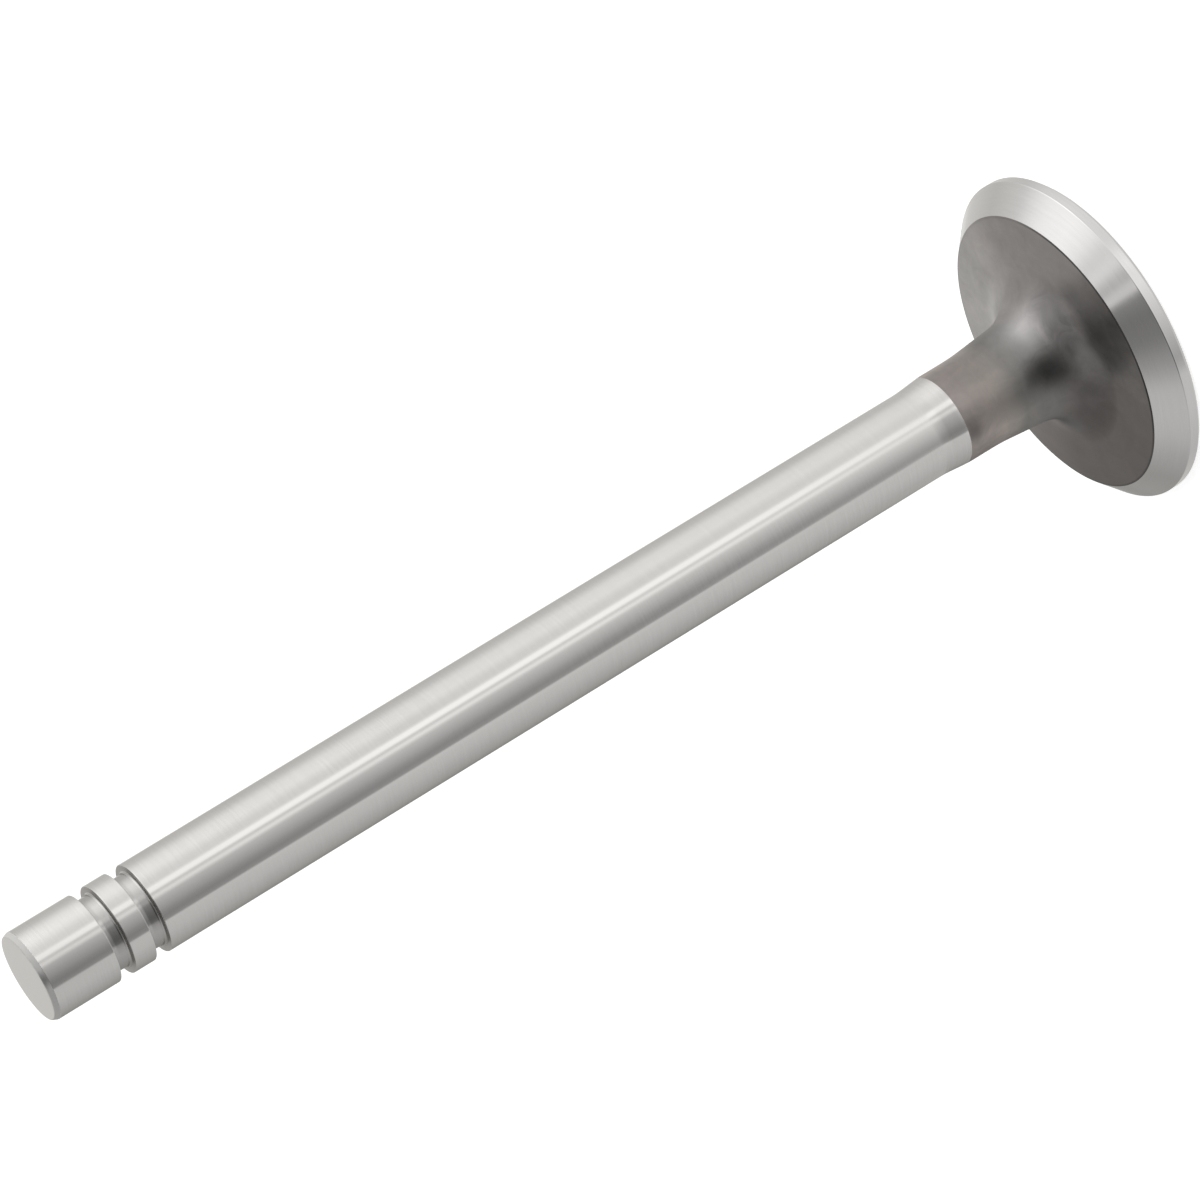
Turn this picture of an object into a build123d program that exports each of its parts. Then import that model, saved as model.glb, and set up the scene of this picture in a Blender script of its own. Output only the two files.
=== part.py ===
from build123d import *
import os
from math import radians, tan

# An engine poppet valve: one piece of steel, upset-forged at the head, then turned and ground.
# It stands on its combustion face. The origin is the centre of that face, and +Z runs up the stem
# to the tip. Lengths are in millimetres and angles in degrees.

# Whole valve
overall_length = 108.6

# Stem, ground to slide in the valve guide
stem_diameter = 8.0

# Tip, which the rocker or lifter pushes on, measured down from the tip face
tip_chamfer_length = 0.45
tip_chamfer_depth = 0.2
tip_edge_radius = 0.12
tip_land = 6.2

# Two square grooves for the split keepers, alike, with a land between them
groove_width = 1.4
groove_depth = 0.74
groove_land = 1.96
groove_root_radius = 0.5
groove_rim_radius = 0.05

# Neck, a little thicker than the stem, measured up from the combustion face
neck_diameter = 8.46
neck_cone_top = 12.2
neck_cone_angle = 5.5
neck_blend_radius = 20.0
flare_bottom = 15.8
flare_length = 2.4
flare_blend_radius = 12.0

# Head: a nearly flat back that a fillet joins to the neck, a 45 degree seat and an upright margin
head_diameter = 30.6
fillet_radius = 4.4
back_angle = 3.0
seat_angle = 45.0
seat_reach = 2.2
margin_height = 1.3
face_chamfer = 0.4
head_edge_radius = 0.12


def groove(lower_rim):
    """Corners of one keeper groove, from its lower rim up, each with its rounding radius."""
    rim = stem_diameter / 2
    root = rim - groove_depth
    root_radius = min(groove_root_radius, 0.45 * groove_width)
    upper_rim = lower_rim + groove_width
    return [
        ((rim, lower_rim), groove_rim_radius),
        ((root, lower_rim), root_radius),
        ((root, upper_rim), root_radius),
        ((rim, upper_rim), groove_rim_radius),
    ]


def neck_meets_back(seat_inner_radius, seat_top):
    """Where the neck's cone, carried on down, crosses the head's back, carried on inwards."""
    neck_slope = tan(radians(neck_cone_angle))
    back_slope = tan(radians(back_angle))
    neck_height = neck_cone_top - seat_top - back_slope * seat_inner_radius
    radius = (neck_diameter / 2 + neck_slope * neck_height) / (1 - neck_slope * back_slope)
    height = seat_top + back_slope * (seat_inner_radius - radius)
    return radius, height


def head_corners():
    """Corners of the head, from its combustion face up to the fillet under the neck.

    The seat's inner edge stays sharp, where the grinding stops on the back."""
    head_radius = head_diameter / 2
    seat_inner_radius = head_radius - seat_reach
    seat_top = margin_height + seat_reach * tan(radians(seat_angle))
    return [
        ((head_radius - face_chamfer, 0), head_edge_radius),
        ((head_radius, face_chamfer), head_edge_radius),
        ((head_radius, margin_height), head_edge_radius),
        ((seat_inner_radius, seat_top), 0),
        (neck_meets_back(seat_inner_radius, seat_top), fillet_radius),
    ]


def neck_corners():
    """Corners of the neck, from the foot of its straight stretch up to the ground stem."""
    return [
        ((neck_diameter / 2, neck_cone_top), neck_blend_radius),
        ((neck_diameter / 2, flare_bottom), flare_blend_radius),
        ((stem_diameter / 2, flare_bottom + flare_length), flare_blend_radius),
    ]


def tip_corners():
    """Corners of the two keeper grooves and of the chamfered tip."""
    upper_groove = overall_length - tip_land - groove_width
    lower_groove = upper_groove - groove_land - groove_width
    return [
        *groove(lower_groove),
        *groove(upper_groove),
        ((stem_diameter / 2, overall_length - tip_chamfer_length), tip_edge_radius),
        ((stem_diameter / 2 - tip_chamfer_depth, overall_length), tip_edge_radius),
    ]


def make_valve():
    """The half section, turned once about the stem's axis."""
    corners = [*head_corners(), *neck_corners(), *tip_corners()]
    face_centre = (0, 0)
    tip_centre = (0, overall_length)
    with BuildPart() as valve:
        with BuildSketch(Plane.XZ):
            with BuildLine():
                FilletPolyline(
                    face_centre,
                    *[point for point, radius in corners],
                    tip_centre,
                    radius=[radius for point, radius in corners],
                )
                Line(tip_centre, face_centre)
            make_face()
        revolve(axis=Axis.Z)
    return valve.part


os.makedirs("parts", exist_ok=True)
valve = make_valve()
valve.label = "valve"
export_step(valve, "parts/valve.step")
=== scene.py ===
# %% [markdown]
# An engine valve, rebuilt from a photograph.
# The valve stands on its combustion face, with its stem along +Z. Lengths are in metres. The packed
# CAD model is loaded first and never moved. A finely turned surface then stands for it in the
# picture, and eight finishes are laid on that surface where the real valve has them.

import math

import bpy
import numpy as np
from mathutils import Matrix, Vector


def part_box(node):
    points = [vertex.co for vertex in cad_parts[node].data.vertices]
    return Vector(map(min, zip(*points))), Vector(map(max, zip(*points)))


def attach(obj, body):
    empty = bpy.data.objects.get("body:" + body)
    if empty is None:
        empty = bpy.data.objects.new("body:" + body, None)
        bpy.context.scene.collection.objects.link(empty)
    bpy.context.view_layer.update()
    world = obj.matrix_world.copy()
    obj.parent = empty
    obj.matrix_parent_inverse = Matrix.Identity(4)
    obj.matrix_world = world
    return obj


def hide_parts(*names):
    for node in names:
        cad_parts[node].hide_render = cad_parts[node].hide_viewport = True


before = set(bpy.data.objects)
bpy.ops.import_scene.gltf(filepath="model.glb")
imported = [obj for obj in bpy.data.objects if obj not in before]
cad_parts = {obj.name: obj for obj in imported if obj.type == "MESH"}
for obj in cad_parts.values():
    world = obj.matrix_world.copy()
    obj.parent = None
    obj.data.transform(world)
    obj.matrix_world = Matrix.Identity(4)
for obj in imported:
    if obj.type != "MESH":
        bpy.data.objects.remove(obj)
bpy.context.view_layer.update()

# %% [markdown]
# The photograph is taken from a few hand spans away with a long lens, from beside the tip and a little
# above. The valve leans across the picture, so here the camera is rolled and the valve stands.
# The place and the roll were found by fitting the outlines and the round edges of the valve.

# %% Camera
MM = 0.001
camera_place = (0.057 * MM, -402.066 * MM, 200.593 * MM)
look_azimuth = 0.289
look_down = 20.424
roll = 121.303

camera_data = bpy.data.cameras.new("camera")
camera_data.sensor_width = 36.0
camera_data.lens = 155.48
camera_data.clip_start = 0.01
camera_data.clip_end = 50.0
camera = bpy.data.objects.new("camera", camera_data)
bpy.context.scene.collection.objects.link(camera)
bpy.context.scene.camera = camera


def turn(axis, degrees):
    """Matrix of a right-handed turn about the x or the z axis."""
    cosine = math.cos(math.radians(degrees))
    sine = math.sin(math.radians(degrees))
    if axis == "x":
        rows = [[1, 0, 0], [0, cosine, -sine], [0, sine, cosine]]
    else:
        rows = [[cosine, -sine, 0], [sine, cosine, 0], [0, 0, 1]]
    return np.array(rows)


# A camera looks along its own -Z. It is rolled first, then tipped up to the horizon and down again
# by look_down, and turned at last about the upright axis.
aim = turn("z", -look_azimuth) @ turn("x", 90 - look_down) @ turn("z", -roll)
pose = np.eye(4)
pose[:3, :3] = aim
pose[:3, 3] = camera_place
camera.matrix_world = pose.T
print("camera right, up, back:", aim.T.round(4).tolist())

# %% [markdown]
# A valve is forged, turned on a lathe and ground, so it is one round shape. It could be put together
# from cylinders with bevelled edges, but polished steel shows every join in its reflections. So the
# whole half section is worked out, as a chain of straight runs with a rounding at each corner. A
# corner is its radius from the axis, its height and the radius of its rounding.

# %% Corners of the head
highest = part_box("valve")[1]
head_radius = highest.x
length = highest.z
face_chamfer = 0.4 * MM
margin_height = 1.3 * MM
edge_radius = 0.12 * MM
seat_reach = 2.2 * MM
seat_edge_radius = 0.3 * MM
back_angle = math.radians(3.0)
fillet_radius = 4.4 * MM
cone_angle = math.radians(5.5)
cone_top = 12.2 * MM
neck_radius = 4.23 * MM

# The seat is ground at 45 degrees, so it rises as far as it reaches in.
seat_inner_radius = head_radius - seat_reach
seat_top = margin_height + seat_reach

# The back of the head and the cone of the neck, both carried on, cross at the fillet's corner.
back_slope = math.tan(back_angle)
cone_slope = math.tan(cone_angle)
cone_height = cone_top - seat_top - back_slope * seat_inner_radius
meeting_radius = (neck_radius + cone_slope * cone_height) / (1 - cone_slope * back_slope)
meeting_height = seat_top + back_slope * (seat_inner_radius - meeting_radius)
head_corners = [
    (head_radius - face_chamfer, 0.0, edge_radius),
    (head_radius, face_chamfer, edge_radius),
    (head_radius, margin_height, edge_radius),
    (seat_inner_radius, seat_top, seat_edge_radius),
    (meeting_radius, meeting_height, fillet_radius),
]
print("neck meets back at, mm:", round(1000 * meeting_radius, 3), round(1000 * meeting_height, 3))

# %% [markdown]
# Above the dark neck the valve narrows over a flare to the ground stem. Near the tip it has two square
# grooves, in which split keepers sit that hold the spring. A boolean could cut them, but would leave
# ragged faces at their rims, so they are corners of the section as well. In the photograph part of
# each floor, on the head's side, reflects as if it were a few degrees out of true, and so it is here.

# %% Corners of the neck
stem_radius = 4.0 * MM
neck_blend_radius = 20.0 * MM
flare_bottom = 15.8 * MM
flare_top = 18.2 * MM
flare_blend_radius = 12.0 * MM
neck_corners = [
    (neck_radius, cone_top, neck_blend_radius),
    (neck_radius, flare_bottom, flare_blend_radius),
    (stem_radius, flare_top, flare_blend_radius),
]
print("the flare, mm:", round(1000 * flare_bottom, 2), "to", round(1000 * flare_top, 2))

# %% Corners of the grooves and the tip
groove_width = 1.4 * MM
groove_floor = stem_radius - 0.74 * MM
groove_land = 1.96 * MM
rim_radius = 0.05 * MM
lower_root_radius = 0.22 * MM
upper_root_radius = 0.25 * MM
floor_rise = 0.05 * MM
rising_share = 0.65
floor_bend_radius = 3.0 * MM
tip_land = 6.2 * MM
chamfer_length = 0.45 * MM
chamfer_depth = 0.2 * MM


def groove_corners(lower_rim):
    """A groove: rim, root, the bend in its floor, root and rim, each with its rounding. On the head's
    side a share of the floor's width rises a little."""
    floor_bend = lower_rim + rising_share * groove_width
    upper_rim = lower_rim + groove_width
    return [
        (stem_radius, lower_rim, rim_radius),
        (groove_floor + floor_rise, lower_rim, lower_root_radius),
        (groove_floor, floor_bend, floor_bend_radius),
        (groove_floor, upper_rim, upper_root_radius),
        (stem_radius, upper_rim, rim_radius),
    ]


upper_groove = length - tip_land - groove_width
lower_groove = upper_groove - groove_land - groove_width
tip_corners = [
    *groove_corners(lower_groove),
    *groove_corners(upper_groove),
    (stem_radius, length - chamfer_length, edge_radius),
    (stem_radius - chamfer_depth, length, edge_radius),
]
print("lower rims of the grooves, mm:", round(1000 * lower_groove, 2), round(1000 * upper_groove, 2))

# %% [markdown]
# A rounding is an arc that touches both runs. The direction of travel turns steadily through it, and
# the outward normal is that direction turned a quarter to the right. So points and normals both
# come from one row of direction angles, and the surface shades as smoothly as a ground one. A Bevel
# modifier would round the corners too, but with fewer steps where a reflection needs more.

# %% Runs and roundings
LONGEST_STEP = 2.5 * MM
# An arc has this many steps for each degree, and this many more for each millimetre of its radius.
STEPS_PER_DEGREE = 0.12
MORE_FOR_EACH_MM = 0.02


def run(start, end):
    """Points evenly spaced on a straight run, and the one outward normal they share."""
    way = np.subtract(end, start)
    pieces = max(1, math.ceil(np.hypot(*way) / LONGEST_STEP))
    share = np.linspace(0, 1, pieces + 1)[:, None]
    normal = np.array([way[1], -way[0]]) / np.hypot(*way)
    return np.array(start) + share * way, np.tile(normal, (pieces + 1, 1))


def rounding(before, corner, after, radius):
    """Arc that touches both runs at a corner: centre plus or minus radius times the normal."""
    way_in = np.subtract(corner, before) / np.hypot(*np.subtract(corner, before))
    way_out = np.subtract(after, corner) / np.hypot(*np.subtract(after, corner))
    turned = math.atan2(way_in[0] * way_out[1] - way_in[1] * way_out[0], way_in @ way_out)
    side = math.copysign(1, turned)
    tangent = radius * math.tan(abs(turned) / 2)
    per_degree = STEPS_PER_DEGREE + MORE_FOR_EACH_MM * radius / MM
    pieces = max(2, math.ceil(abs(math.degrees(turned)) * per_degree))
    angle = math.atan2(way_in[1], way_in[0]) + np.linspace(0, turned, pieces + 1)
    normal = np.stack([np.sin(angle), -np.cos(angle)], 1)
    start = np.array(corner) - tangent * way_in
    centre = start - side * radius * normal[0]
    return centre + side * radius * normal, normal


# %% The half section
def half_section(corners, foot, head):
    """All runs and roundings in order: ring points, and the normals at each strip's two ends."""
    places = [foot, *[corner[:2] for corner in corners], head]
    parts = []
    reached = foot
    for index, (radius, height, bend) in enumerate(corners):
        arc = rounding(places[index], (radius, height), places[index + 2], bend)
        parts.append(run(reached, arc[0][0]))
        parts.append(arc)
        reached = arc[0][-1]
    parts.append(run(reached, head))
    points = np.concatenate([part[0][:-1] for part in parts] + [[head]])
    below = np.concatenate([part[1][:-1] for part in parts])
    above = np.concatenate([part[1][1:] for part in parts])
    return points, below, above


corners = [*head_corners, *neck_corners, *tip_corners]
section = half_section(corners, (0.0, 0.0), (0.0, length))
print("rings:", len(section[0]))

# %% [markdown]
# The bright grinding of the stem ends on the flare in a crisp line round the neck. One more ring is
# put exactly there, so the change of finish falls on an edge of the mesh.

# %% The ring where the grinding ends
grinding_end = 16.0 * MM


def with_ring(section, height):
    """Splits the last strip that holds this height, with a normal between those of its ends."""
    points, below, above = section
    strip = np.flatnonzero((points[:-1, 1] < height) & (points[1:, 1] > height))[-1]
    share = (height - points[strip, 1]) / (points[strip + 1, 1] - points[strip, 1])
    place = (1 - share) * points[strip] + share * points[strip + 1]
    normal = (1 - share) * below[strip] + share * above[strip]
    normal = normal / np.hypot(*normal)
    points = np.insert(points, strip + 1, place, axis=0)
    below = np.insert(below, strip + 1, normal, axis=0)
    above = np.insert(above, strip, normal, axis=0)
    return points, below, above


section = with_ring(section, grinding_end)
print("rings, with the one where the grinding ends:", len(section[0]))

# %% [markdown]
# On the real valve the fillet runs out into the neck without a line. A pure arc would start at once,
# and a reflection shows that as a hard stop. So the normals, and only they, begin to turn a little
# above the arc. Within a reach w of the arc's upper end the extra turn is (w - t)^2 / (4 w radius),
# where t is the distance above that end: the even ramp of the arc, with its corner eased.

# %% Ease the fillet into the neck
EASE_REACH = 2.2 * MM
EASE_RINGS = 7
fillet_turn = math.radians(90) - cone_angle - back_angle
tangent_length = fillet_radius * math.tan(fillet_turn / 2)
fillet_top = meeting_height + tangent_length * math.cos(cone_angle)
for ring_share in np.linspace(0.1, 1.0, EASE_RINGS):
    section = with_ring(section, fillet_top + ring_share * EASE_REACH)


def eased(normal, height):
    """Turns the normals near the fillet's upper end by the formula above."""
    above = (height - fillet_top) / math.cos(cone_angle)
    near = (np.abs(above) < EASE_REACH) & (height > seat_top) & (height < cone_top)
    turned = (EASE_REACH - above) ** 2 / (4 * EASE_REACH * fillet_radius)
    angle = np.arctan2(normal[:, 1], normal[:, 0])
    angle = np.where(near, cone_angle + turned, angle)
    return np.stack([np.cos(angle), np.sin(angle)], 1)


points, normal_below, normal_above = section
normal_below = eased(normal_below, points[:-1, 1])
normal_above = eased(normal_above, points[1:, 1])
print("fillet ends, mm:", round(1000 * fillet_top, 3))

# %% [markdown]
# The lathe, the grinding wheel and the heat leave eight finishes, and each ends at a crisp edge. A mask
# in one material could part them, but would blur there. So every strip between two rings has one
# finish, and its height, its radius and its slant tell which.

# %% Which finish each strip has
GROUND, DARK, SEAT, TURNED, TIP, WALL, GROOVE, BROKEN = range(8)
# The slant is how far along the axis a strip's normal points, from -1 to 1. These are the least
# slants of the flat ends, of a groove's walls and of the tip's chamfer.
END_SLANT = 0.95
WALL_SLANT = 0.9
CHAMFER_SLANT = 0.1
# How near a strip lies to an end of the valve or to the grooves, how far below the stem's surface a
# groove begins, and how far below its corner the chamfer does.
NEAR = 1.0 * MM
RIM_LEEWAY = 0.04 * MM
CHAMFER_LEEWAY = 0.02 * MM
# The dark skin reaches over most of the rounding at the seat's inner edge.
skin_radius = seat_inner_radius + 0.06 * MM
skin_foot = seat_top - 0.1 * MM

strip_radius, strip_height = ((points[:-1] + points[1:]) / 2).T
slant = (normal_below[:, 1] + normal_above[:, 1]) / 2
is_face = (slant < -END_SLANT) & (strip_height < NEAR)
is_tip = (slant > END_SLANT) & (strip_height > length - NEAR)
is_broken = (slant > CHAMFER_SLANT) & (strip_height > length - chamfer_length - CHAMFER_LEEWAY)
near_grooves = (strip_height > lower_groove - NEAR) & (strip_height < length - tip_land + NEAR)
in_groove = near_grooves & (strip_radius < stem_radius - RIM_LEEWAY)
is_wall = in_groove & (np.abs(slant) > WALL_SLANT)
is_stem = strip_height > grinding_end
is_dark = (strip_radius < skin_radius) & (strip_height > skin_foot)
strip_finish = np.select(
    [is_face, is_tip, is_broken, is_wall, in_groove, is_stem, is_dark],
    [TURNED, TIP, BROKEN, WALL, GROOVE, GROUND, DARK],
    SEAT,
)
print("strips of each finish:", np.bincount(strip_finish).tolist())

# %% [markdown]
# The half section is carried round the axis in even steps. The Screw modifier could do it, but worked
# out here, each strip also gets its finish and its exact normals. Both ends of the section lie on the
# axis, so each end is one point with a fan of triangles, and the last step joins the first.


# %% Points and faces of a turned surface
def turned_mesh(name, points, finish, steps):
    """Point (radius, height) of the section at step k goes to (r cos a, r sin a, height) with
    a = 2 pi k / steps. The faces are the quads between neighbouring rings and steps, and a fan of
    triangles at each end."""
    angle = 2 * np.pi * np.arange(steps) / steps
    rings = points[1:-1]
    radius = rings[:, :1]
    height = np.repeat(rings[:, 1:], steps, axis=1)
    grid = np.stack([radius * np.cos(angle), radius * np.sin(angle), height], 2)
    verts = np.concatenate([[[0, 0, points[0, 1]]], grid.reshape(-1, 3), [[0, 0, points[-1, 1]]]])

    step = np.arange(steps)
    after = (step + 1) % steps
    low = 1 + steps * np.arange(len(rings) - 1)[:, None]
    high = low + steps
    quads = np.stack([low + step, low + after, high + after, high + step], 2)
    last = 1 + steps * (len(rings) - 1)
    foot_fan = np.stack([np.zeros(steps, int), 1 + after, 1 + step], 1)
    head_fan = np.stack([last + step, last + after, np.full(steps, len(verts) - 1)], 1)
    corner_verts = np.concatenate([foot_fan.ravel(), quads.ravel(), head_fan.ravel()])
    sizes = np.repeat([3, 4, 3], [steps, steps * (len(rings) - 1), steps])

    mesh = bpy.data.meshes.new(name)
    mesh.vertices.add(len(verts))
    mesh.vertices.foreach_set("co", verts.ravel())
    mesh.loops.add(len(corner_verts))
    mesh.loops.foreach_set("vertex_index", corner_verts)
    mesh.polygons.add(len(sizes))
    mesh.polygons.foreach_set("loop_start", np.concatenate([[0], np.cumsum(sizes)[:-1]]))
    mesh.polygons.foreach_set("material_index", np.repeat(finish, steps))
    mesh.update(calc_edges=True)
    mesh.validate()
    return mesh


# %% [markdown]
# The finishes need to know which way is round the valve and which is along it, so the surface carries a
# map of both. It also carries the exact normals of the section. Blender's own are a mean over the
# faces round a point, which would make the flats beside a narrow rounding look swollen.


# %% Map and normals of a turned surface
def lay_map_and_normals(mesh, points, run_length, below, above, steps):
    """Corner by corner: the map is the share of the way round and the share of the way along the
    section. A section normal (out, up) goes to (out cos a, out sin a, up), a being the way round."""
    strips = len(points) - 1
    step = np.arange(steps)
    foot_round = np.stack([step + 0.5, step + 1, step], 1).ravel()
    quad_round = np.tile(np.stack([step, step + 1, step + 1, step], 1).ravel(), strips - 2)
    head_round = np.stack([step, step + 1, step + 0.5], 1).ravel()
    way_round = np.concatenate([foot_round, quad_round, head_round]) / steps

    foot_ring = np.tile([0, 1, 1], steps)
    quad_ring = (np.arange(1, strips - 1)[:, None] + np.tile([0, 0, 1, 1], steps)).ravel()
    head_ring = np.tile([strips - 1, strips - 1, strips], steps)
    ring = np.concatenate([foot_ring, quad_ring, head_ring])
    way_along = run_length[ring] / run_length[-1]
    uv = mesh.uv_layers.new(name="round_and_along")
    uv.uv.foreach_set("vector", np.stack([way_round, way_along], 1).ravel())

    corners_in_strip = np.full(strips, 4 * steps)
    corners_in_strip[[0, -1]] = 3 * steps
    strip = np.repeat(np.arange(strips), corners_in_strip)
    at_upper_end = (ring > strip)[:, None]
    out, up = np.where(at_upper_end, above[strip], below[strip]).T
    angle = 2 * np.pi * way_round
    mesh.polygons.foreach_set("use_smooth", np.ones(len(mesh.polygons), bool))
    mesh.normals_split_custom_set(np.stack([out * np.cos(angle), out * np.sin(angle), up], 1))


# %% Turn the valve
STEPS_ROUND = 256
run_length = np.concatenate([[0], np.cumsum(np.hypot(*np.diff(points, axis=0).T))])
profile_length = float(run_length[-1])
valve_mesh = turned_mesh("valve_turned", points, strip_finish, STEPS_ROUND)
lay_map_and_normals(valve_mesh, points, run_length, normal_below, normal_above, STEPS_ROUND)
valve = bpy.data.objects.new("valve_turned", valve_mesh)
bpy.context.scene.collection.objects.link(valve)
print("triangles:", sum(len(face.vertices) - 2 for face in valve_mesh.polygons))
print("length of the section, mm:", round(1000 * profile_length, 2))

# %% [markdown]
# Each finish is a small net of nodes, which could be drawn by hand in the shader editor. Here a few
# helpers write such nets: they add a node and join it up, do a sum, or blend colours.


# %% Helpers that add nodes
def node(tree, kind, inputs=None, **settings):
    """Adds one node. An input may be a plain value or another node's output."""
    made = tree.nodes.new(kind)
    for name, value in settings.items():
        setattr(made, name, value)
    for key, value in (inputs or {}).items():
        if isinstance(value, bpy.types.NodeSocket):
            tree.links.new(value, made.inputs[key])
        else:
            made.inputs[key].default_value = value
    return made


def sum_of(tree, operation, first, second=0.0, third=0.0):
    """One Math node, and its result."""
    inputs = {0: first, 1: second}
    if operation == "MULTIPLY_ADD":
        inputs[2] = third
    return node(tree, "ShaderNodeMath", inputs, operation=operation).outputs[0]


def product(tree, first, second):
    """Multiplies two colours or two places, number by number."""
    return node(tree, "ShaderNodeVectorMath", {0: first, 1: second}, operation="MULTIPLY").outputs[0]


def scaled(tree, colour, factor):
    """A colour, paler or darker by a factor."""
    return node(tree, "ShaderNodeVectorMath", {0: colour, "Scale": factor}, operation="SCALE").outputs[0]


def mapped(tree, value, start, end, low, high):
    """Goes evenly from low to high while a value goes from start to end."""
    return node(tree, "ShaderNodeMapRange", {0: value, 1: start, 2: end, 3: low, 4: high}).outputs[0]


def share_of(tree, value, start, end):
    """Share from 0 to 1 while a value goes from start to end, eased at both."""
    limits = {0: value, 1: start, 2: end}
    return node(tree, "ShaderNodeMapRange", limits, interpolation_type="SMOOTHSTEP").outputs[0]


def mixed_colour(tree, share, first, second):
    """Goes from the first colour to the second. They are inputs 6 and 7 of a Mix node, and the result
    is its output 2, because the others are for numbers and for places."""
    return node(tree, "ShaderNodeMix", {0: share, 6: first, 7: second}, data_type="RGBA").outputs[2]


# %% [markdown]
# Colours and brightness change here with the height, the radius or the direction round the valve. A
# colour ramp does that with a handful of stops, where a painted picture would need a file of its own.
# Noise then moves the stops' places and the values a little, because no real blend is even.


# %% Ramps and noise
def ramp(tree, share, stops):
    """A colour ramp through the stops, each a place from 0 to 1 and a colour or a grey. A new ramp has
    two stops: one is taken away and the other becomes the first."""
    made = node(tree, "ShaderNodeValToRGB", {0: share})
    made.color_ramp.elements.remove(made.color_ramp.elements[1])
    for index, (place, shade) in enumerate(stops):
        stop = made.color_ramp.elements[0] if index == 0 else made.color_ramp.elements.new(place)
        stop.position = place
        stop.color = (*(shade if isinstance(shade, tuple) else (shade, shade, shade)), 1)
    return made.outputs[0]


def ramp_by_length(tree, value, reach, stops):
    """A ramp over a length from 0 to reach. That and the stops' places are in millimetres."""
    share = sum_of(tree, "MULTIPLY", value, 1 / (reach * MM))
    return ramp(tree, share, [(place / reach, shade) for place, shade in stops])


def ramp_by_direction(tree, turn_share, stations):
    """A ramp round the valve that closes on itself. Each station's place is in degrees."""
    closed = [*stations, (180, stations[0][1])]
    return ramp(tree, turn_share, [((degrees + 180) / 360, shade) for degrees, shade in closed])


def share_of_turn(tree, spot, start):
    """Direction round the axis as a share of a turn: start on the camera's side, and more towards +X."""
    towards_camera = sum_of(tree, "MULTIPLY", spot.outputs[1], -1.0)
    angle = sum_of(tree, "ARCTAN2", spot.outputs[0], towards_camera)
    return sum_of(tree, "MULTIPLY_ADD", angle, 0.5 / math.pi, start)


def noise(tree, place, scale, **settings):
    """Soft noise, mostly between 0.3 and 0.7."""
    return node(tree, "ShaderNodeTexNoise", {"Vector": place, "Scale": scale, **settings}).outputs[0]


def unsteady(tree, value, wobble, amount):
    """The value, which noise moves by up to half the amount up or down."""
    return sum_of(tree, "MULTIPLY_ADD", wobble, amount, sum_of(tree, "ADD", value, -amount / 2))


# %% [markdown]
# All eight finishes are metal. Most have fine lines round the axis from the lathe or the wheel, and some
# have dark marks: painted shade on the fillet, a scuff on the neck and a darker spot on the tip's chamfer.
# A picture of scratches could give the lines, but it would have a seam, so noise is read in stretched
# coordinates. A mark is a ball in space with a soft edge.

# %% Helpers for steel
FRAYING = 0.6


def metal(name):
    """A new material, with its tree and its shader."""
    material = bpy.data.materials.new(name)
    material.use_nodes = True
    tree = material.node_tree
    tree.nodes.clear()
    shader = node(tree, "ShaderNodeBsdfPrincipled", {"Metallic": 1.0})
    node(tree, "ShaderNodeOutputMaterial", {"Surface": shader.outputs[0]})
    return material, tree, shader


def stretched(tree, round_scale, along_scale):
    """Object coordinates squeezed across the axis and stretched along the section, so that noise read
    there is drawn out into fine lines round the valve."""
    place = node(tree, "ShaderNodeTexCoord").outputs["Object"]
    flat = product(tree, place, (round_scale, round_scale, 0.0))
    uv = node(tree, "ShaderNodeUVMap", uv_map="round_and_along").outputs[0]
    along = node(tree, "ShaderNodeSeparateXYZ", {0: uv}).outputs[1]
    lift = sum_of(tree, "MULTIPLY", along, profile_length * along_scale)
    lifted = node(tree, "ShaderNodeCombineXYZ", {2: lift}).outputs[0]
    return node(tree, "ShaderNodeVectorMath", {0: flat, 1: lifted}, operation="ADD").outputs[0]


def darkened(tree, wobble, marks):
    """How much of its brightness the steel keeps at each point: 1, or less within a mark's reach. Noise
    frays its edge.
    """
    place = node(tree, "ShaderNodeTexCoord").outputs["Object"]
    kept_brightness = 1.0
    for centre, reach, strength in marks:
        ends = {0: place, 1: tuple(value * MM for value in centre)}
        away = node(tree, "ShaderNodeVectorMath", ends, operation="DISTANCE").outputs["Value"]
        frayed = unsteady(tree, away, wobble, FRAYING * reach * MM)
        mark = sum_of(tree, "MULTIPLY_ADD", share_of(tree, frayed, reach * MM, 0.0), -strength, 1.0)
        kept_brightness = sum_of(tree, "MULTIPLY", mark, kept_brightness)
    return kept_brightness


# %% [markdown]
# The stem, the lands, the tip, the seat and the margin are ground while the valve spins. The wheel
# leaves thousands of hair-fine lines round the axis. Such lines spread a reflection along the stem
# and keep it sharp across, so lamps show as long straight bands. Lines of bump alone would need far
# more samples, so the spread is set as anisotropy in the shader.

# %% Ground steel
FINE_LINE = 0.000002
TURNED_LINE = 0.000004
# How often per metre the lines change round the axis, and the clouds in the shine round and along it.
LINE_CHANGES = 220.0
CLOUD_CHANGES = (90.0, 120.0)
# The noise of the darkest and the palest line, and their shades.
LINE_NOISE = (0.25, 0.75)
LINE_SHADES = (0.97, 1.02)
# How far the lines move the roughness up or down, and by how much the clouds do in all.
LINE_ROUGHNESS = 0.02
CLOUD_ROUGHNESS = 0.05


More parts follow.
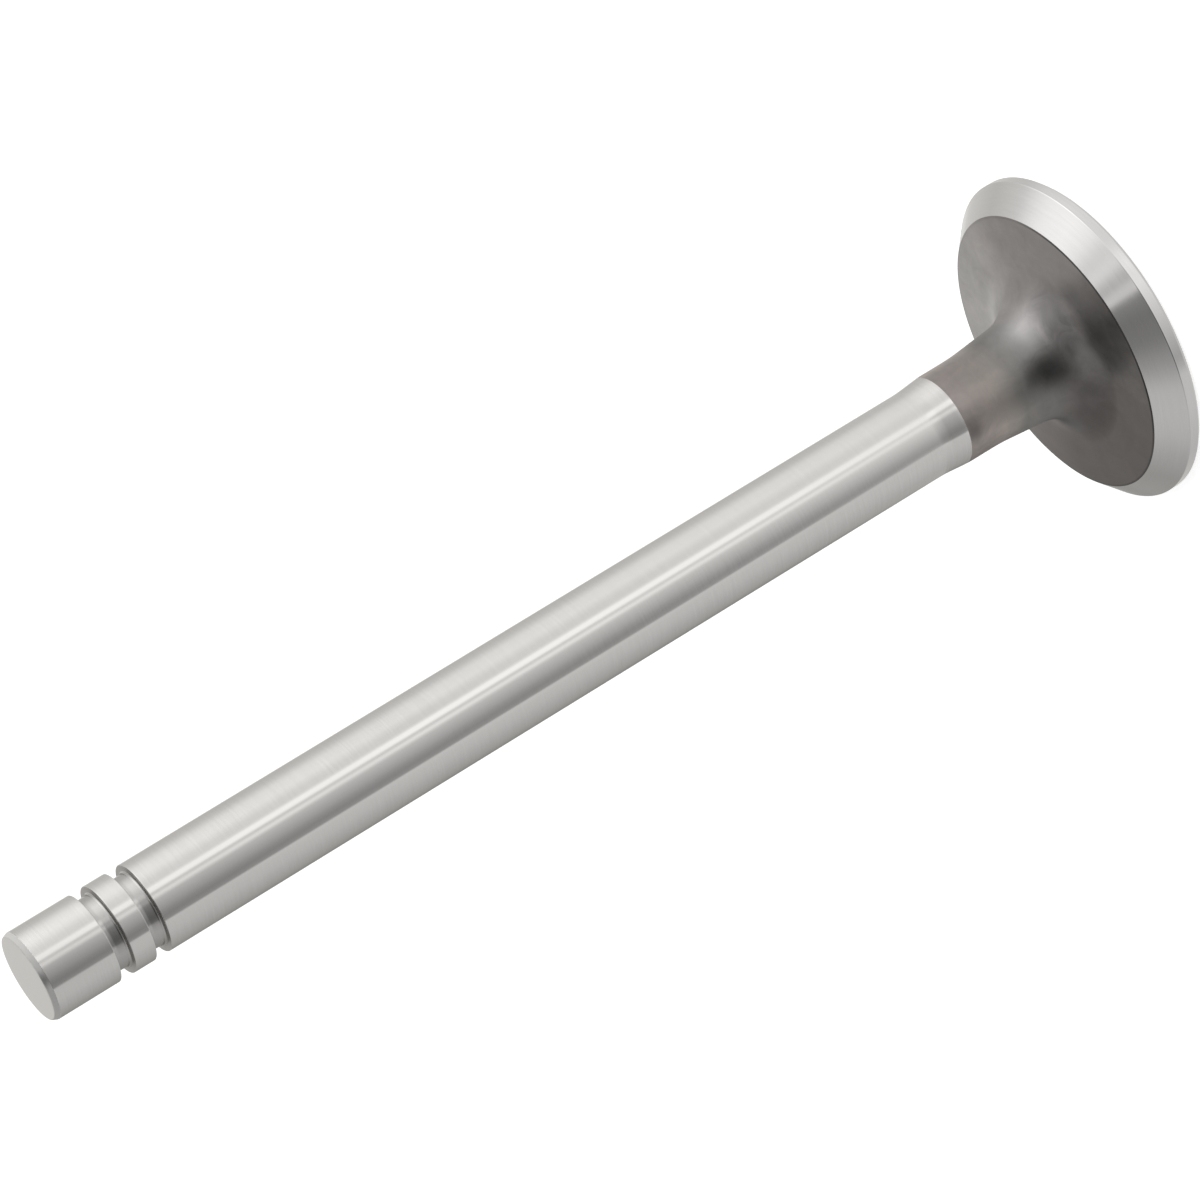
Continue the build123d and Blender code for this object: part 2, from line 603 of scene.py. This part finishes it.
def ground_steel(name, colour, roughness, marks_per_metre=6000.0, spread=0.0, depth=FINE_LINE, marks=()):
    """Bright steel with fine lines round the axis, and dark marks where there are any."""
    material, tree, shader = metal(name)
    lines = noise(tree, stretched(tree, LINE_CHANGES, marks_per_metre), 1.0, Detail=3.0, Roughness=0.6)
    cloud = noise(tree, stretched(tree, *CLOUD_CHANGES), 1.0, Detail=3.0)
    rough = mapped(tree, lines, 0.3, 0.7, roughness - LINE_ROUGHNESS, roughness + LINE_ROUGHNESS)
    rough = unsteady(tree, rough, cloud, CLOUD_ROUGHNESS)
    shade = mapped(tree, lines, *LINE_NOISE, *LINE_SHADES)
    shade = sum_of(tree, "MULTIPLY", shade, darkened(tree, lines, marks))
    bump = node(tree, "ShaderNodeBump", {"Strength": 0.08, "Distance": depth, "Height": lines})
    tangent = node(tree, "ShaderNodeTangent", direction_type="UV_MAP", uv_map="round_and_along")
    shader.inputs["Anisotropic"].default_value = spread
    shader.inputs["Anisotropic Rotation"].default_value = 0.25
    tree.links.new(scaled(tree, colour, shade), shader.inputs["Base Color"])
    tree.links.new(rough, shader.inputs["Roughness"])
    tree.links.new(bump.outputs[0], shader.inputs["Normal"])
    tree.links.new(tangent.outputs[0], shader.inputs["Tangent"])
    return material


stem_steel = ground_steel("ground_stem", (0.70, 0.689, 0.669), 0.13, marks_per_metre=7000.0, spread=0.8)
seat_steel = ground_steel("ground_seat", (0.71, 0.70, 0.69), 0.14, marks_per_metre=7000.0, spread=0.7)
tip_steel = ground_steel("ground_tip", (0.70, 0.69, 0.672), 0.3)
print("ground finishes:", stem_steel.name, seat_steel.name, tip_steel.name)

# %% [markdown]
# The combustion face is only turned. The grooves are darker than the stem, and their walls look darker and
# duller than their floors. The chamfer at the tip looks pale and matt, with one darker spot. All are the
# same steel, so they share the function above and differ in its values.

# %% Turned faces, grooves and the broken edge
face_steel = ground_steel(
    "turned_face", (0.55, 0.54, 0.52), 0.4, marks_per_metre=3000.0, spread=0.6, depth=TURNED_LINE
)
wall_steel = ground_steel("groove_wall", (0.46, 0.45, 0.435), 0.4)
floor_steel = ground_steel("groove_floor", (0.52, 0.513, 0.498), 0.17, spread=0.6)
# The dark spot's place and reach in millimetres, and how much darker it is.
DARK_CHAMFER_SPOT = ((-0.75, -3.85, 108.35), 1.0, 0.45)
edge_steel = ground_steel("broken_edge", (0.77, 0.765, 0.75), 0.8, marks=[DARK_CHAMFER_SPOT])
print("turned finishes:", face_steel.name, wall_steel.name, floor_steel.name, edge_steel.name)

# %% [markdown]
# The neck and the back of the head are left as they come from heat treatment: a thin dark skin over fine
# turning marks, with warm and cool clouds in it. It is duller, so it reflects softly. Its tint changes with
# the height, and by the direction and the radius it is painted paler or darker: painted shade and
# reflection.

# %% Tints of the dark skin
# The tint of the back by the direction round the valve, in degrees from the camera's side towards +X: the
# skin's own grey and brown, with painted shade towards -X and painted reflection paler towards +X.
BACK_TINT_AND_SHADE = [
    (-180, (0.34, 0.328, 0.324)), (-152, (0.19, 0.175, 0.171)), (-125, (0.142, 0.129, 0.126)),
    (-35, (0.155, 0.145, 0.141)), (-14, (0.275, 0.265, 0.260)), (20, (0.302, 0.290, 0.286)),
    (45, (0.282, 0.270, 0.266)), (70, (0.285, 0.270, 0.264)), (100, (0.36, 0.347, 0.342)),
    (120, (0.425, 0.417, 0.412)), (150, (0.435, 0.427, 0.422)),
]
# Painted light and shade: how much paler or darker the back is at each radius in millimetres.
PAINTED_RING_SHADES = [
    (4.5, 1.24), (5.3, 1.20), (6.0, 1.10), (6.9, 1.12), (7.8, 1.16), (9.5, 1.06), (12.9, 1.06),
    (13.04, 0.90),
]
RING_REACH = 15
# The tint of the neck by its height in millimetres.
NECK_TINTS = [
    (5.0, (0.355, 0.349, 0.344)), (8.0, (0.300, 0.294, 0.286)), (10.0, (0.290, 0.281, 0.267)),
    (12.0, (0.43, 0.397, 0.372)), (16.0, (0.435, 0.397, 0.377)),
]
NECK_REACH = 20
# The heights between which the painted shade of the neck's sides fades in, its tint passes into the back's
# on the way down, and the back's shine into its own on the way up.
SIDES_FADE_IN = (7.5 * MM, 11.5 * MM)
TINT_PASSES = (9 * MM, 5 * MM)
SHINE_PASSES = (7 * MM, 12 * MM)
BACK_ROUGHNESS = 0.33
NECK_ROUGHNESS = 0.72
# Painted shade and highlight: how much paler or darker the neck is by direction, like the back's tint.
PAINTED_NECK_SIDE_SHADES = [
    (-180, 1.0), (-80, 0.93), (-65, 1.2), (-45, 1.5), (-30, 1.3), (-20, 1.2), (-10, 1.3), (0, 1.42),
    (12, 1.28), (20, 1.08), (30, 0.95), (50, 0.82), (62, 0.86), (72, 1.0), (85, 1.15), (110, 1.15),
]


def halved(stops):
    """Halves shades up to 2, so that a ramp goes from 0 to 1. What is shaded is doubled afterwards."""
    return [(place, shade / 2) for place, shade in stops]


def back_tint_and_shade(tree, turn_share, radius):
    """Tint with painted shade and reflection by direction, times the painted shade of its ring."""
    tint = ramp_by_direction(tree, turn_share, BACK_TINT_AND_SHADE)
    ring = ramp_by_length(tree, radius, RING_REACH, halved(PAINTED_RING_SHADES))
    return scaled(tree, product(tree, tint, ring), 2.0)


def neck_tint(tree, turn_share, height):
    """Tint by height, times the painted shade and highlight of its side, which fades out towards the
    fillet.
    """
    tint = ramp_by_length(tree, height, NECK_REACH, NECK_TINTS)
    side = ramp_by_direction(tree, turn_share, halved(PAINTED_NECK_SIDE_SHADES))
    side = mixed_colour(tree, share_of(tree, height, *SIDES_FADE_IN), (0.5, 0.5, 0.5, 1), side)
    return scaled(tree, product(tree, tint, side), 2.0)


print("tints of the back and the neck:", len(BACK_TINT_AND_SHADE), len(NECK_TINTS))

# %% [markdown]
# Dark spots of painted shade lie on the fillet and just above it, and there is a scuff on the neck. Heat
# leaves a little brown in the skin. A thin dark line of painted shadow runs along the seat, on the camera's
# side, where its grinding stops. A painted mask could hold them, but these few are quicker to place by
# their centres.

# %% Marks on the dark skin
# Each mark's place and reach in millimetres, and how much darker it is. The first four are painted shade on
# the fillet and just above it, and the last is a scuff on the neck.
PAINTED_SHADE_AND_SCUFF_MARKS = [
    ((1.1, -5.8, 5.0), 2.6, 0.52),
    ((-0.7, -4.5, 8.1), 1.8, 0.46),
    ((3.2, -5.3, 4.5), 2.8, 0.38),
    ((-4.4, -4.8, 4.7), 1.9, 0.2),
    ((-2.3, -3.6, 15.4), 1.7, 0.38),
]
# What brown does to the tint, how strong the noise is where it starts and where it is full, and how
# much of it there is at most.
BROWN = (1.12, 0.96, 0.93)
BROWN_WHERE = (0.55, 0.72)
BROWN_MOST = 0.35
# How far a point on the seat's edge lies towards +Y, as a share, where the painted shadow line starts and
# where it is full. The camera is towards -Y.
SEAT_SHADOW_SIDES = (-0.45, -0.85)
SEAT_SHADOW_DARKNESS = 0.6
seat_shadow_start = seat_inner_radius - 0.17 * MM
seat_shadow_full = seat_inner_radius - 0.08 * MM


def with_brown(tree, tint, stain):
    """Turns the tint a little brown where the stain is strong."""
    share = sum_of(tree, "MULTIPLY", share_of(tree, stain, *BROWN_WHERE), BROWN_MOST)
    return mixed_colour(tree, share, tint, product(tree, tint, BROWN))


def painted_seat_shadow(tree, flat, radius):
    """Painted shadow beside the seat: 1, or less on the line and on the camera's side."""
    outward = node(tree, "ShaderNodeVectorMath", {0: flat}, operation="NORMALIZE").outputs[0]
    towards = node(tree, "ShaderNodeSeparateXYZ", {0: outward}).outputs[1]
    near_seat = share_of(tree, radius, seat_shadow_start, seat_shadow_full)
    shadow_line = sum_of(tree, "MULTIPLY", near_seat, share_of(tree, towards, *SEAT_SHADOW_SIDES))
    return sum_of(tree, "MULTIPLY_ADD", shadow_line, -SEAT_SHADOW_DARKNESS, 1.0)


print("marks on the dark skin:", len(PAINTED_SHADE_AND_SCUFF_MARKS))

# %% Dark neck and back
# How often per metre the clouds and the stains change, and the turning lines round and along.
SKIN_CLOUDS = 170.0
SKIN_STAINS = 420.0
SKIN_LINES = (120.0, 3500.0)
# How much in all the clouds and the stains mottle the tint, the clouds move the stations of the tints
# as a share of a turn, and the lines and the stains move the roughness.
CLOUD_MOTTLE = 0.5
STAIN_MOTTLE = 0.35
STATION_WANDER = 0.10
SHINE_WANDER = 0.08


def dark_skin(name):
    """Dark satin steel: a warm grey neck, and a back that goes from pale grey to purplish brown. Painted
    shade and reflection change it by direction and radius, and painted dark spots and a painted shadow line
    darken it.
    """
    material, tree, shader = metal(name)
    place = node(tree, "ShaderNodeTexCoord").outputs["Object"]
    cloud = noise(tree, place, SKIN_CLOUDS, Detail=6.0, Roughness=0.6)
    stain = noise(tree, place, SKIN_STAINS, Detail=4.0, Roughness=0.6, Distortion=1.2)
    lines = noise(tree, stretched(tree, *SKIN_LINES), 1.0, Detail=4.0)
    spot = node(tree, "ShaderNodeSeparateXYZ", {0: place})
    height = spot.outputs[2]
    flat = product(tree, place, (1.0, 1.0, 0.0))
    radius = node(tree, "ShaderNodeVectorMath", {0: flat}, operation="LENGTH").outputs["Value"]
    turn_share = share_of_turn(tree, spot, unsteady(tree, 0.5, cloud, STATION_WANDER))
    turn_share = sum_of(tree, "FRACT", turn_share)

    neck = neck_tint(tree, turn_share, height)
    back = back_tint_and_shade(tree, turn_share, radius)
    tint = mixed_colour(tree, share_of(tree, height, *TINT_PASSES), neck, back)
    mottle = unsteady(tree, 1.0, stain, STAIN_MOTTLE)
    mottle = unsteady(tree, mottle, cloud, CLOUD_MOTTLE)
    tint = with_brown(tree, scaled(tree, tint, mottle), stain)
    # Painted shade spots, the scuff and the painted seat shadow darken the tint here.
    kept_brightness = sum_of(tree, "MULTIPLY", darkened(tree, stain, PAINTED_SHADE_AND_SCUFF_MARKS), painted_seat_shadow(tree, flat, radius))
    tree.links.new(scaled(tree, tint, kept_brightness), shader.inputs["Base Color"])

    rough = mapped(tree, height, *SHINE_PASSES, BACK_ROUGHNESS, NECK_ROUGHNESS)
    rough = unsteady(tree, rough, lines, SHINE_WANDER)
    rough = unsteady(tree, rough, stain, SHINE_WANDER)
    tree.links.new(rough, shader.inputs["Roughness"])
    bump = node(tree, "ShaderNodeBump", {"Strength": 0.2, "Distance": 0.000005, "Height": lines})
    tree.links.new(bump.outputs[0], shader.inputs["Normal"])
    return material


neck_skin = dark_skin("dark_neck")
print("skin:", neck_skin.name)

# %% [markdown]
# The finishes go on the valve in the order of their numbers above. The turned surface then takes the
# place of the CAD node of the same valve, and rides on the same body.

# %% Lay the finishes on the valve
finish_of_number = {
    GROUND: stem_steel,
    DARK: neck_skin,
    SEAT: seat_steel,
    TURNED: face_steel,
    TIP: tip_steel,
    WALL: wall_steel,
    GROOVE: floor_steel,
    BROKEN: edge_steel,
}
for number in sorted(finish_of_number):
    valve_mesh.materials.append(finish_of_number[number])
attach(valve, "root")
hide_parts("valve")
print("finishes:", [material.name for material in valve_mesh.materials])

# %% [markdown]
# Polished steel shows its surroundings, so the studio matters as much as the metal. It is a soft tent
# of light whose brightness changes with the direction: a bright side, a dark front and a grey lower
# side. Lamps and cards could be set up round the valve, but each would be a guess at a thing that is
# never seen, so the tent is a ramp of brightness in the world. The camera itself sees plain white.

# %% Brightness of the tent
# Each station is a direction round the valve in degrees, from the camera's side towards +X, and the
# brightness there. There is one row each for directions well below level, a little below it, about
# level and high above it. A ramp holds 32 stops at most, the closing one among them.
FLOOR_ROW = [
    (-180, 0.72), (-157, 0.63), (-121, 0.60), (-80, 0.70), (-58, 0.68), (-45, 0.50), (-20, 0.75),
    (0, 0.98), (20, 1.10), (45, 0.92), (80, 0.94), (105, 0.86), (125, 0.68), (150, 0.68),
]
LOW_ROW = [
    (-180, 0.55), (-171, 0.36), (-157, 0.295), (-145, 0.38), (-128, 0.46), (-103, 0.55), (-80, 0.65),
    (-65, 0.70), (-54, 0.77), (-50.5, 0.38), (-40, 0.33), (-30, 0.40), (-21, 0.505), (-8, 0.63),
    (1, 0.72), (4.5, 0.88), (8, 1.10), (12, 1.10), (15, 0.90), (18.5, 0.84), (23.5, 1.34),
    (31.5, 1.33), (35.5, 1.02), (40, 0.88), (50, 0.87), (70, 1.03), (95, 0.99), (119, 0.735),
    (140, 0.63), (155, 0.565), (171, 0.85),
]
MIDDLE_ROW = [
    (-180, 0.80), (-168, 0.40), (-140, 0.385), (-110, 0.55), (-85, 0.60), (-65, 0.45), (-50, 0.12),
    (-35, 0.05), (-15, 0.05), (0, 0.13), (20, 0.54), (40, 1.02), (60, 1.48), (80, 1.70), (100, 1.30),
    (120, 0.77), (140, 0.63), (165, 0.74),
]
HIGH_ROW = [
    (-180, 0.45), (-140, 0.45), (-120, 0.60), (-100, 0.62), (-80, 0.60), (-63, 0.40), (-40, 0.24),
    (-15, 0.21), (3, 0.27), (7.5, 0.40), (11, 0.80), (18, 0.76), (24, 0.57), (30, 0.62), (40, 0.93),
    (46, 0.91), (51, 0.83), (58, 0.88), (68, 1.10), (83, 1.24), (100, 1.13), (120, 0.82), (150, 0.65),
]
OVERHEAD = 0.35
# The elevations in degrees between which one row passes into the next.
FLOOR_TO_LOW = (-25.5, -23)
LOW_TO_MIDDLE = (-17, -3)
MIDDLE_TO_HIGH = (22, 48)
HIGH_TO_OVERHEAD = (68, 85)
# The far side of the tent is a little warmer than the near one.
FAR_SIDE = (0.2, 0.9)
PLAIN = (1.0, 1.0, 1.0, 1.0)
WARM = (1.0, 0.985, 0.955, 1.0)
# The ramps hold each brightness as a share of this one, and the light is as strong as this.
BRIGHTEST = 1.75
print("stations in each row:", [len(row) for row in (FLOOR_ROW, LOW_ROW, MIDDLE_ROW, HIGH_ROW)])

# %% The tent of light
world = bpy.data.worlds.new("studio")
bpy.context.scene.world = world
world.use_nodes = True
sky = world.node_tree
sky.nodes.clear()
looking = node(sky, "ShaderNodeTexCoord").outputs["Generated"]
direction = node(sky, "ShaderNodeSeparateXYZ", {0: looking})
turn_share = share_of_turn(sky, direction, 0.5)


def tent(stations):
    """Brightness by direction, as a share of the brightest."""
    return ramp_by_direction(sky, turn_share, [(degrees, level / BRIGHTEST) for degrees, level in stations])


def rise(start, end):
    """Share from 0 to 1 while a direction climbs from one elevation to another, in degrees."""
    return share_of(sky, direction.outputs[2], math.sin(math.radians(start)), math.sin(math.radians(end)))


overhead = (OVERHEAD / BRIGHTEST, OVERHEAD / BRIGHTEST, OVERHEAD / BRIGHTEST, 1)
level = mixed_colour(sky, rise(*FLOOR_TO_LOW), tent(FLOOR_ROW), tent(LOW_ROW))
level = mixed_colour(sky, rise(*LOW_TO_MIDDLE), level, tent(MIDDLE_ROW))
level = mixed_colour(sky, rise(*MIDDLE_TO_HIGH), level, tent(HIGH_ROW))
level = mixed_colour(sky, rise(*HIGH_TO_OVERHEAD), level, overhead)
warmth = mixed_colour(sky, share_of(sky, direction.outputs[1], *FAR_SIDE), PLAIN, WARM)
light = product(sky, level, warmth)
tent_light = node(sky, "ShaderNodeBackground", {"Color": light, "Strength": BRIGHTEST})
white = node(sky, "ShaderNodeBackground", {"Color": PLAIN, "Strength": 1.0})
seen = node(sky, "ShaderNodeLightPath").outputs["Is Camera Ray"]
mixed = node(sky, "ShaderNodeMixShader", {0: seen, 1: tent_light.outputs[0], 2: white.outputs[0]})
node(sky, "ShaderNodeOutputWorld", {"Surface": mixed.outputs[0]})
print("nodes in the tent:", len(sky.nodes))

# %% [markdown]
# The floor is a plain pale sheet that the valve stands on. To the camera it also glows a little, so
# that it joins the white background, and it still takes a soft shadow. More light would whiten it
# too, but would change the steel.

# %% Floor
FLOOR_HALF = 1.5
FLOOR_GLOW = 0.65
floor_mesh = bpy.data.meshes.new("floor")
floor_corners = FLOOR_HALF * np.array([(-1, -1, 0), (1, -1, 0), (1, 1, 0), (-1, 1, 0)])
floor_mesh.from_pydata(floor_corners.tolist(), [], [(0, 1, 2, 3)])
floor = bpy.data.objects.new("floor", floor_mesh)
bpy.context.scene.collection.objects.link(floor)
paper = bpy.data.materials.new("pale_floor")
paper.use_nodes = True
tree = paper.node_tree
tree.nodes.clear()
sheet = node(tree, "ShaderNodeBsdfDiffuse", {"Color": (0.9, 0.9, 0.9, 1)})
camera_ray = node(tree, "ShaderNodeLightPath").outputs["Is Camera Ray"]
glow_strength = sum_of(tree, "MULTIPLY", camera_ray, FLOOR_GLOW)
glow = node(tree, "ShaderNodeEmission", {"Color": (1, 1, 1, 1), "Strength": glow_strength})
both = node(tree, "ShaderNodeAddShader", {0: sheet.outputs[0], 1: glow.outputs[0]})
node(tree, "ShaderNodeOutputMaterial", {"Surface": both.outputs[0]})
floor_mesh.materials.append(paper)
floor.visible_glossy = False
print("floor, metres across:", 2 * FLOOR_HALF)

# %% [markdown]
# Colours are shown as they are, without a film look. The turned surface may not stand out of the CAD
# model's box.

# %% Colours as they are
bpy.context.scene.view_settings.view_transform = "Standard"
